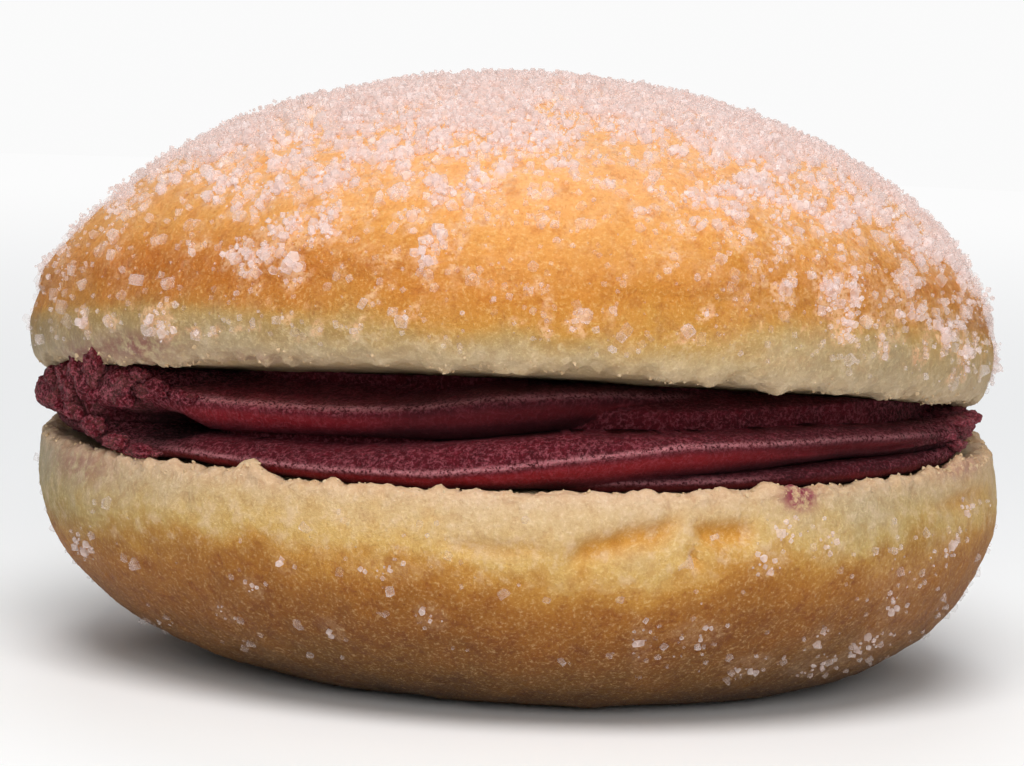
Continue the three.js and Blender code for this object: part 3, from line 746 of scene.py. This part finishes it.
def jellyMarks(azimuth, height, run):
    # a lit line along each ridge, a painted glow on the red face under it, grain over it and at both ends,
    # painted light on the right end, and painted shade in the hollow, on each run and in the dents
    shine, clear, top, deep = 0 * height, 0 * height, 0 * height, 0 * height
    for number, stops in enumerate(runs, 1):
        foot, ridge = valueAt(stops, azimuth, 2), valueAt(stops, azimuth, 3)
        mine = run == number
        down = (ridge - height) / (ridge - foot)
        above, share = (0.35, 0.55) if number == 3 else (0.15, 1)
        lit = 1 - smooth(azimuth, 24, 36) if number == 1 else 1
        shine = np.where(mine, bump(height, ridge + above, 0.2) * lit, shine)
        # the share of painted glow on the red face under the ridge
        clear = np.where(mine, share * smooth(down, 0.06, 0.3) * (1 - smooth(down, 0.45, 0.9)), clear)
        top = np.where(mine, smooth(height - ridge, -0.4, 0.1), top)
        # painted shade on each run, more towards its foot where it tucks under
        deep = np.where(mine, valueAt(runPaintedShade[number - 1], azimuth) + 0.6 * smooth(down, 0.35, 0.95), deep)
    # the torn ends; at the right the mark goes past 1, which adds painted light there
    ends = smooth(-azimuth, 42, 58) + 1.4 * smooth(azimuth, 52, 68) + 0 * height
    front = smooth(cosine(azimuth), -0.1, 0.35) * np.clip(1 - 0.8 * ends, 0, 1)
    # painted shade in the hollow and in the dents
    deep = np.where(run == 0, valueAt(hollowPaintedShade, azimuth), deep) + 0.3 * spots(dents, azimuth, height)
    return {"shine": shine * front, "clear": clear * front, "deep": np.clip(deep, 0, 1), "ends": ends,
            "grain": 0.25 + 0.6 * top + 0.9 * ends + 0.5 * (run == 0), "lip": 0 * height}


turn = np.linspace(-180, 180, jelly["columns"], endpoint=False)
azimuth = turn - np.degrees(jelly["crowding"] * sine(turn))
outline, run = placeJelly(azimuth, 1 + 0 * azimuth)
floor = jelly["clearance"] - baseHalf["dish"]
levels = jellyLevels(azimuth, floor, underLid(outline[:, 0], outline[:, 1]) - cutLevel(outline[:, 0]))
points, run = placeJelly(azimuth[None, :], levels)
points[..., 2] = np.minimum(points[..., 2], underLid(points[..., 0], points[..., 1]))
marks = jellyMarks(azimuth[None, :], levels, run)
edge = points[-1]
for share in (0.9, 0.75, 0.5, 0.25):
    x, y = edge[:, 0] * share, edge[:, 1] * share
    points = np.concatenate([points, np.stack([x, y, underLid(x, y)], axis=-1)[None]])
    marks = {label: np.concatenate([values, values[-1:]]) for label, values in marks.items()}
bottom, top = (0, 0, cutLevel(0) + floor), (0, 0, underLid(0, 0))
jellyMesh = roughened(skinMesh("jellySkin", points, bottom, top, marks), jellyRelief)


def jellyMaterial():
    look, graph = material("piped jelly")
    place = graph.place()
    fine = graph.noise(place, 0.27, 5.0, 0.75)
    broad = graph.noise(place, 2.2, 4.0, 0.6)
    grain = graph.mark("grain")
    deep = graph.mark("deep")
    shade = graph.mix(graph.span(broad, 0.35, 0.7), colour(86, 11, 22), colour(110, 19, 32))
    # painted glow: the red face under each ridge is drawn as lit by light shining through the jelly
    shade = graph.mix(graph.mark("clear") * 0.85, shade, colour(138, 18, 24))
    shade = graph.mix(graph.mark("ends") * graph.span(broad, 0.46, 0.6) * 0.6, shade, colour(98, 70, 62))
    # painted light on the torn end at the right, where the mark goes past 1
    shade = graph.mix(graph.span(graph.mark("ends"), 1.0, 1.4) * 0.3, shade, colour(176, 84, 98))
    wrinkle = graph.noise(place, 0.8, 4.0, 0.6)
    crest = graph.span(wrinkle, 0.42, 0.5) * graph.span(wrinkle, 0.58, 0.5)
    # painted highlights: pale pink specks on the grain, most on the tops of the runs and on the torn ends
    paleSpecksAndPaintedLight = graph.span(fine, 0.5, 0.66) * grain
    shade = graph.mix(paleSpecksAndPaintedLight * 0.7, shade, colour(182, 82, 100))
    shade = graph.mix(graph.mark("shine") * graph.span(fine, 0.4, 0.54) * 0.9, shade, colour(228, 150, 156))
    # painted highlights along the crests of the wrinkles
    shade = graph.mix(crest * grain * graph.span(fine, 0.4, 0.55) * 0.6, shade, colour(196, 106, 118))
    # painted shade in the pits of the grain
    pits = graph.span(fine, 0.5, 0.36) * grain
    shade = graph.mix(pits * 0.45, shade, colour(40, 8, 14))
    # painted shade in the hollow, on each run and in the dents
    shade = graph.mix(deep * 0.85, shade, colour(34, 8, 13))
    rough = grain * 0.2 + deep * 0.4 + graph.span(fine, 0.3, 0.7, 0.26, 0.44)
    bumps = graph.relief(fine * (grain * 0.8 + 0.2) + crest * grain * 0.35 + wrinkle * 0.5, 0.34, 1.0)
    constants = {"Specular IOR Level": 0.15, "Subsurface Weight": 0.15, "Subsurface Scale": 1.0 * mm,
                 "Subsurface Radius": (1.0, 0.12, 0.15)}
    finishMaterial(graph, constants, {"Base Color": shade, "Roughness": rough, "Normal": bumps})
    return look


jellyLook = jellyMaterial()
jellyFilling = show("jelly", jellyMesh, jellyLook)
print("jelly:", len(jellyMesh.polygons), "faces")

# Where the line was turned and torn off, the jelly stands in rough lumps:
# [azimuth, inset, height above the cut, half width along, half depth, half height]
jellyLumps = [
    [-81, 1.4, 3.7, 1.7, 1.5, 1.5], [-76, 1.3, 4.8, 1.5, 1.2, 1], [-72, 1.2, 5.6, 1.5, 1, 1.2],
    [-67, 1, 6.2, 1.5, 0.9, 1.5], [-62, 0.7, 7, 1, 0.9, 1.7], [-60, 0.3, 8.1, 0.6, 0.6, 0.9],
    [-69, 1.2, 4.4, 1.6, 1.1, 1.4], [-64, 1.3, 5, 1.7, 1, 1.3], [-74, 1.3, 3.2, 1.7, 1.2, 1.1],
    [-68, 1.1, 2.9, 1.6, 1, 0.9], [-63, 1.2, 1.8, 1.7, 0.9, 0.8], [-58, 1.4, 0.9, 1.8, 0.9, 0.7],
    [-53, 1.7, 0.4, 2, 0.9, 0.6], [-58, 1.8, 5.9, 1.7, 1, 1], [-53, 2.5, 5.6, 1.9, 0.9, 0.9],
    [-58, 2, 4.6, 1.6, 0.9, 0.8], [-48, 2.9, 5.3, 1.6, 0.8, 0.6], [-55, 2.2, 6.7, 1, 0.7, 0.6],
    [72, 2.6, 3, 1.9, 1.1, 0.6], [78, 2.8, 2.9, 1.7, 1.1, 0.7], [83, 4.2, 2.7, 1.6, 1, 0.7],
    [76, 3.2, 1.7, 1.7, 1, 0.6], [82, 4.7, 1.6, 1.6, 1.1, 0.7], [79, 3.6, 3.5, 1.5, 0.9, 0.5],
    [67, 2.7, 2.3, 1.5, 0.8, 0.5], [70, 2.4, 1.3, 1.6, 0.8, 0.5]]


def lumpMesh(table):
    joined, ends = bmesh.new(), []
    for azimuth, inset, level, along, deep, tall in table:
        made = bmesh.ops.create_icosphere(joined, subdivisions=4, radius=1)["verts"]
        # lumps at the right get a mark past 1, which adds painted light
        ends += [0.9 if azimuth < 0 else 1.4] * len(made)
        radius = waistRadius(azimuth) - inset
        x = mouth["centre"] + radius * sine(azimuth)
        centre = Vector((x, -radius * cosine(azimuth), cutLevel(x) + level))
        outward = Vector((sine(azimuth), -cosine(azimuth), 0))
        onward = Vector((cosine(azimuth), sine(azimuth), 0))
        for vert in made:
            at = vert.co.copy()
            folded = 0.42 * noise.fractal(at * 1.5 + centre, 0.9, 2.1, 4)
            crumpled = 1 + folded + 0.07 * noise.noise(at * 9 + centre)
            reach = onward * at.x * along + outward * at.y * deep + Vector((0, 0, at.z * tall))
            vert.co = (centre + crumpled * reach) * mm
    mesh = bpy.data.meshes.new("jellyLumps")
    joined.to_mesh(mesh)
    joined.free()
    for label, values in {"grain": [1.1] * len(ends), "ends": ends, "deep": [0.0] * len(ends)}.items():
        setMark(mesh, label, values)
    return mesh


jellyFolds = show("jelly_folds", lumpMesh(jellyLumps), jellyLook)
print("jelly folds:", len(jellyFolds.data.polygons), "triangles")

# Shapes of one crystal, grain and crumb, each about a millimetre across
names = ("crystalShapes", "grainShapes", "crumbShapes")
crystalShapes, grainShapes, crumbShapes = [bpy.data.collections.new(name) for name in names]


def hullMesh(name, points):
    mesh = bpy.data.meshes.new(name)
    work = bmesh.new()
    for point in points:
        work.verts.new(Vector(point) * mm)
    made = bmesh.ops.convex_hull(work, input=work.verts)
    inner = [item for item in made["geom_interior"] if isinstance(item, bmesh.types.BMVert)]
    bmesh.ops.delete(work, geom=inner, context="VERTS")
    bmesh.ops.recalc_face_normals(work, faces=work.faces)
    work.to_mesh(mesh)
    work.free()
    return mesh


def boxCorners(draw, cut):
    # corners of an uneven box, of which the first few are cut off
    sides = np.array([1, draw.uniform(0.72, 1), draw.uniform(0.62, 0.95)]) * 0.5
    corners = [np.array([x, y, z]) for x in (-1, 1) for y in (-1, 1) for z in (-1, 1)]
    draw.shuffle(corners)
    points = []
    for number, corner in enumerate(corners):
        if number < cut:
            for axis in range(3):
                moved = corner.copy()
                moved[axis] *= 1 - draw.uniform(0.35, 0.8)
                points.append(moved * sides)
        else:
            points.append(corner * sides * draw.uniform(0.72, 1.06, 3))
    return points


def addShape(kinds, name, points):
    kinds.objects.link(bpy.data.objects.new(name, hullMesh(name, points)))


draw = np.random.default_rng(21)
for number in range(6):
    addShape(crystalShapes, "crystalShape", boxCorners(draw, 3))
for number in range(3):
    addShape(grainShapes, "grainShape", boxCorners(draw, 0))
for number in range(4):
    lump = draw.normal(size=(12, 3))
    lump *= draw.uniform(0.35, 0.55, (12, 1)) / np.linalg.norm(lump, axis=1, keepdims=True)
    addShape(crumbShapes, "crumbShape", lump)


# What a kind of grain is given: how far apart it lies, its sizes in mm, how far it stands off the skin, and
# the values of the mark at which it begins and is densest
labels = ["Spacing", "Smallest", "Largest", "Lowest", "Highest", "From", "Full"]


def scatterTree():
    kinds = {"Geometry": "Geometry", "Mark": "String", **dict.fromkeys(labels, "Float"), "Seed": "Int",
             "Shapes": "Collection", "Look": "Material"}
    graph, given = geometryTree("scatterOnSkin", kinds)
    density = graph.add("ShaderNodeMapRange", None, {
        0: graph.mark(given["Mark"]), 1: given["From"], 2: given["Full"]})
    spread = graph.add("GeometryNodeDistributePointsOnFaces", {"distribute_method": "POISSON"}, {
        "Mesh": given["Geometry"], "Distance Min": given["Spacing"], "Density Max": 4e6,
        "Density Factor": density, "Seed": given["Seed"]})

    def drawn(kind, low, high, shift, output):
        at = 0 if kind == "FLOAT_VECTOR" else 2 if kind == "FLOAT" else 4
        values = {at: low, at + 1: high, "Seed": given["Seed"] + shift}
        return graph.add("FunctionNodeRandomValue", {"data_type": kind}, values, output)

    def stored(points, kind, name, value):
        settings = {"data_type": kind, "domain": "POINT"}
        values = {"Geometry": points, "Name": name, "Value": value}
        return graph.add("GeometryNodeStoreNamedAttribute", settings, values)

    away = spread.also("Normal")
    up = graph.vector("SCALE", {0: away, "Scale": drawn("FLOAT", given["Lowest"], given["Highest"], 1, 1)})
    raised = graph.add("GeometryNodeSetPosition", None, {"Geometry": spread, "Offset": up})
    toned = stored(raised, "FLOAT", "tone", drawn("FLOAT", 0.0, 1.0, 2, 1))
    toned = stored(toned, "FLOAT_VECTOR", "facing", away)
    shapes = graph.add("GeometryNodeCollectionInfo", None, {
        "Collection": given["Shapes"], "Separate Children": True, "Reset Children": True})
    spare = given["Largest"] - given["Smallest"]
    size = given["Smallest"] + spare * drawn("FLOAT", 0.0, 1.0, 3, 1) ** 2.0
    turned = drawn("FLOAT_VECTOR", (0.0, 0.0, 0.0), (6.28, 6.28, 6.28), 5, 0)
    placed = graph.add("GeometryNodeInstanceOnPoints", None, {
        "Points": toned, "Instance": shapes, "Pick Instance": True,
        "Instance Index": drawn("INT", 0, 99, 4, 2), "Rotation": turned, "Scale": size})
    real = graph.add("GeometryNodeRealizeInstances", None, {"Geometry": placed})
    dressed = graph.add("GeometryNodeSetMaterial", None, {"Geometry": real, "Material": given["Look"]})
    graph.add("NodeGroupOutput", None, {0: dressed})
    return graph.tree


def scatter(name, base, shapes, mark, seed, *sizes):
    look = sugarLook if mark == "sugar" else crumbLook
    values = {label: value * mm if label in ("Spacing", "Lowest", "Highest") else value
              for label, value in zip(labels, sizes)}
    mesh = grow(base, scatterOnSkin, {**values, "Mark": mark, "Seed": seed, "Shapes": shapes, "Look": look})
    piece = show(name, mesh, look, smoothed=False)
    print(name + ":", sum(len(face.vertices) - 2 for face in mesh.polygons), "triangles")
    return piece


def sugarMaterial():
    # a clear crystal shows the crust it lies on, throws little shadow, and is lit partly as the crust is
    look, graph = material("sugar crystals")
    place = graph.place()
    cloud = graph.noise(place, 0.6, 3.0)
    edge = graph.add("ShaderNodeLayerWeight", None, {"Blend": 0.5}, "Facing")
    tone = graph.mark("tone")
    crowd = graph.mark("sugar")
    facet = graph.add("ShaderNodeNewGeometry", None, None, "Normal")
    facing = graph.add("ShaderNodeAttribute", {"attribute_name": "facing"}, None, "Vector")
    bent = graph.vector("MULTIPLY_ADD", {0: facing, 1: (0.7, 0.7, 0.7), 2: facet})
    bent = graph.vector("NORMALIZE", {0: bent})
    shade = graph.mix(tone, colour(240, 216, 208), colour(252, 240, 237))
    rough = graph.span(cloud, 0.35, 0.65, 0.06, 0.4)
    clear = graph.span(crowd, 0.2, 1.0, 0.08, 0.5) + tone * 0.12
    # painted reflection: facets seen edge-on are drawn denser and whiter, as a crystal shines at its edges
    rim = edge * graph.span(crowd, 0.1, 0.7, 0.8, 0.3)
    dense = clear * (graph.span(cloud, 0.36, 0.62, 0.72, 1.0) + rim)
    body = graph.add("ShaderNodeBsdfPrincipled", None, {
        "Base Color": shade, "Roughness": rough, "Specular IOR Level": 0.8, "Alpha": dense, "Normal": bent})
    through = graph.add("ShaderNodeBsdfTranslucent", None, {"Color": (*colour(244, 230, 226), 1)})
    thin = graph.add("ShaderNodeBsdfTransparent", None, {"Color": (1.0, 1.0, 1.0, 1.0)})
    inside = graph.mixShader(dense, thin, through)
    both = graph.mixShader(graph.span(crowd, 0.15, 0.8, 0.2, 0.5), body, inside)
    shadow = graph.add("ShaderNodeLightPath", None, None, "Is Shadow Ray")
    graph.add("ShaderNodeOutputMaterial", None, {"Surface": graph.mixShader(shadow * 0.6, both, thin)})
    return look


def crumbMaterial():
    look, graph = material("bread crumbs")
    place = graph.place()
    shade = graph.mix(graph.mark("tone"), colour(190, 160, 122), colour(210, 184, 148))
    bumps = graph.relief(graph.noise(place, 0.25, 4.0), 0.1, 0.6)
    finishMaterial(graph, {"Roughness": 0.75}, {"Base Color": shade, "Normal": bumps})
    return look


scatterOnSkin = scatterTree()
sugarLook = sugarMaterial()
crumbLook = crumbMaterial()
# Each kind of grain: the half it lies on, its shapes, mark and seed, then the values that labels names
grains = {
    "sugar_bed": [breadLid, crystalShapes, "sugar", 4, 0.51, 0.32, 1.08, 0.0, 0.28, 0.15, 0.98],
    "sugar_pile": [breadLid, crystalShapes, "sugar", 9, 0.56, 0.3, 0.9, 0.22, 0.6, 0.6, 1.15],
    "sugar_fine": [breadLid, grainShapes, "sugar", 15, 0.42, 0.14, 0.6, 0.0, 0.08, 0.05, 0.95],
    "sugar_dust": [breadLid, grainShapes, "sugar", 16, 0.4, 0.14, 0.5, 0.3, 0.95, 0.45, 1.0],
    "sugar_below": [breadBase, crystalShapes, "sugar", 23, 0.5, 0.3, 0.8, 0.0, 0.14, 0.1, 2.6],
    "sugar_dust_below": [breadBase, grainShapes, "sugar", 24, 0.4, 0.16, 0.45, 0.0, 0.06, 0.12, 2.0],
    "crumbs_above": [breadLid, crumbShapes, "lip", 31, 0.36, 0.15, 0.55, -0.08, 0.06, 0.45, 1.5],
    "crumbs_below": [breadBase, crumbShapes, "lip", 31, 0.36, 0.15, 0.55, -0.08, 0.06, 0.45, 1.5]}
scattered = [scatter(name, *values) for name, values in grains.items()]


# The largest crystals, which the halves hold: the same draws place, size and turn them here. They lie apart
# by a share of their sizes, few of them stray below the thick sugar, and on the lower half they sink in
stuck = {
    "smallest": 0.85, "largest": 1.5, "apart": 0.87, "middle": 0.5, "gain": 3, "strays": 0.05,
    "sunk": 0.3, "tone": 0.6}


def randomFrom(seed):
    state, full = seed, 0xffffffff
    while True:
        state = (state + 0x6d2b79f5) & full
        mixed = (state ^ (state >> 15)) * (1 | state) & full
        mixed = (mixed + ((mixed ^ (mixed >> 7)) * (61 | mixed) & full)) & full ^ mixed
        yield (mixed ^ (mixed >> 14)) / 2 ** 32


def spotOnLid(random):
    azimuth, rise = blend(-180, 180, next(random)), next(random)
    likely = stuck["middle"] + stuck["gain"] * (rise - valueAt(sugarLine, azimuth))
    if next(random) > np.clip(likely, stuck["strays"], 1):
        return None
    height = blend(2, lidHalf["bandHeight"] + lidHalf["domeHeight"] - 0.1, rise)
    up = max(0, height - lidHalf["bandHeight"]) / lidHalf["domeHeight"]
    waist = waistRadius(azimuth) - lidHalf["undersize"]
    at = placeOnLid(azimuth, waist * (1 - up ** lidHalf["roundness"]) ** (1 / lidHalf["roundness"]), height)
    return Vector(at), Vector(sunk(at, azimuth, height))


def spotOnBase(random):
    azimuth, height = blend(-180, 180, next(random)), blend(3, 17, next(random))
    power = baseHalf["roundness"] - baseHalf["leftFullness"] * sine(azimuth)
    out = (1 - max(0, 1 - height / baseHalf["waistHeight"]) ** power) ** (1 / power)
    radius = blend(baseHalf["flatRadius"], waistRadius(azimuth), out)
    return [Vector(placeOnBase(azimuth, radius - deep, height)) for deep in (0, stuck["sunk"])]


def largeCrystals(name, seed, count, spot, depth):
    random, held, facing, cuts = randomFrom(seed), [], [], np.random.default_rng(seed)
    joined = bmesh.new()
    while len(held) < count:
        size = blend(stuck["smallest"], stuck["largest"], next(random) ** 2)
        found = spot(random)
        if found is None:
            continue
        at, settled = found
        if any((other - at).length < stuck["apart"] * (size + wide) for other, wide in held):
            continue
        held.append((at, size))
        sides = Vector((size, size * blend(0.7, 1, next(random)), size * blend(0.6, 0.95, next(random))))
        turns = [Matrix.Rotation(next(random) * math.pi, 3, axis) for axis in "XYZ"]
        shape = hullMesh("cutCrystal", boxCorners(cuts, 5))
        for vertex in shape.vertices:
            local = Vector([part * side for part, side in zip(vertex.co, sides)])
            vertex.co = turns[2] @ turns[1] @ turns[0] @ local + settled * mm
        outward = (settled - Vector((0, 0, bread["cutHeight"]))).normalized()
        facing += [*outward] * len(shape.vertices)
        joined.from_mesh(shape)
        bpy.data.meshes.remove(shape)
    mesh = bpy.data.meshes.new(name)
    joined.to_mesh(mesh)
    joined.free()
    for label, value in {"tone": stuck["tone"], "sugar": depth}.items():
        setMark(mesh, label, [value] * len(mesh.vertices))
    mesh.attributes.new("facing", "FLOAT_VECTOR", "POINT").data.foreach_set("vector", facing)
    print(name + ":", count, "crystals")
    return show(name, mesh, sugarLook, smoothed=False)


scattered += [largeCrystals("sugar_large", 5, 190, spotOnLid, 0.5),
              largeCrystals("sugar_large_below", 11, 40, spotOnBase, 0.1)]
for kind in (crystalShapes, grainShapes, crumbShapes):
    for shape in list(kind.objects):
        bpy.data.objects.remove(shape)
    bpy.data.collections.remove(kind)
print("shapes of grains removed")

# Camera, floor and soft light
view = {"target": (-4.2, 0, 24.3), "distance": 450, "drop": 6.5, "roll": 2.2, "lens": 180.35}


def addCamera():
    drop, roll = math.radians(view["drop"]), math.radians(view["roll"])
    forward = Vector((0, math.cos(drop), -math.sin(drop)))
    right, up = Vector((1, 0, 0)), Vector((0, math.sin(drop), math.cos(drop)))
    tilted = right * math.cos(roll) + up * math.sin(roll)
    upright = up * math.cos(roll) - right * math.sin(roll)
    camera = bpy.data.objects.new("camera", bpy.data.cameras.new("camera"))
    camera.data.lens = view["lens"]
    camera.data.sensor_width = 36
    camera.data.clip_start = 0.01
    turned = Matrix((tilted, upright, -forward)).transposed().to_4x4()
    place = (Vector(view["target"]) - forward * view["distance"]) * mm
    camera.matrix_world = Matrix.Translation(place) @ turned
    bpy.context.scene.camera = link(camera)


def addLight(name, place, size, power, shade=(1, 1, 1)):
    light = bpy.data.lights.new(name, "AREA")
    light.shape = "DISK"
    light.size = size
    light.energy = power
    light.color = shade
    lamp = link(bpy.data.objects.new(name, light))
    lamp.location = place
    lamp.rotation_euler = (Vector((0, 0, 0.025)) - Vector(place)).to_track_quat("-Z", "Y").to_euler()


studio = {"skyLight": 0.22, "backdrop": 0.96, "floorShade": 0.92, "floorRadius": 0.6}
addCamera()
addLight("key light", (-0.01, -0.36, 0.62), 0.5, 3.85)
addLight("front fill", (0.06, -0.62, 0.24), 0.3, 1.6)
addLight("back light", (0.0, 0.55, 0.5), 0.5, 1.4, (0.92, 0.96, 1.0))
world = bpy.data.worlds.new("studio")
world.use_nodes = True
world.node_tree.nodes.clear()
sky = Graph(world.node_tree)
seen = sky.add("ShaderNodeLightPath", None, None, "Is Camera Ray")
strength = seen * (studio["backdrop"] - studio["skyLight"]) + studio["skyLight"]
sky.add("ShaderNodeOutputWorld", None, {"Surface": sky.add("ShaderNodeBackground", None, {
    "Color": (1.0, 1.0, 1.0, 1.0), "Strength": strength})})
bpy.context.scene.world = world
bpy.context.scene.view_settings.view_transform = "Standard"
floorLook, floorGraph = material("pale floor")
away = floorGraph.vector("LENGTH", {0: floorGraph.place()}, 1)
far = floorGraph.span(away, 0.09, studio["floorRadius"] * 0.9)
near = (studio["floorShade"],) * 3
constants = {"Roughness": 0.8, "Specular IOR Level": 0.1, "Emission Strength": studio["backdrop"]}
finishMaterial(floorGraph, constants, {
    "Base Color": floorGraph.mix(far, near, (0.0, 0.0, 0.0)),
    "Emission Color": floorGraph.mix(far, (0.0, 0.0, 0.0), (1.0, 1.0, 1.0))})
floorMesh = bpy.data.meshes.new("floor")
rim = [studio["floorRadius"] * Vector((cosine(turn), sine(turn), 0)) for turn in range(0, 360, 5)]
floorMesh.from_pydata(rim, [], [range(len(rim))])
floorPiece = show("floor", floorMesh, floorLook, smoothed=False)
floorPiece.location.z = -0.0001

for piece in [breadBase, breadLid, jellyFilling, jellyFolds, *scattered]:
    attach(piece, "root")
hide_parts("doughnut_base")
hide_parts("doughnut_lid")
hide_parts("jelly_filling")
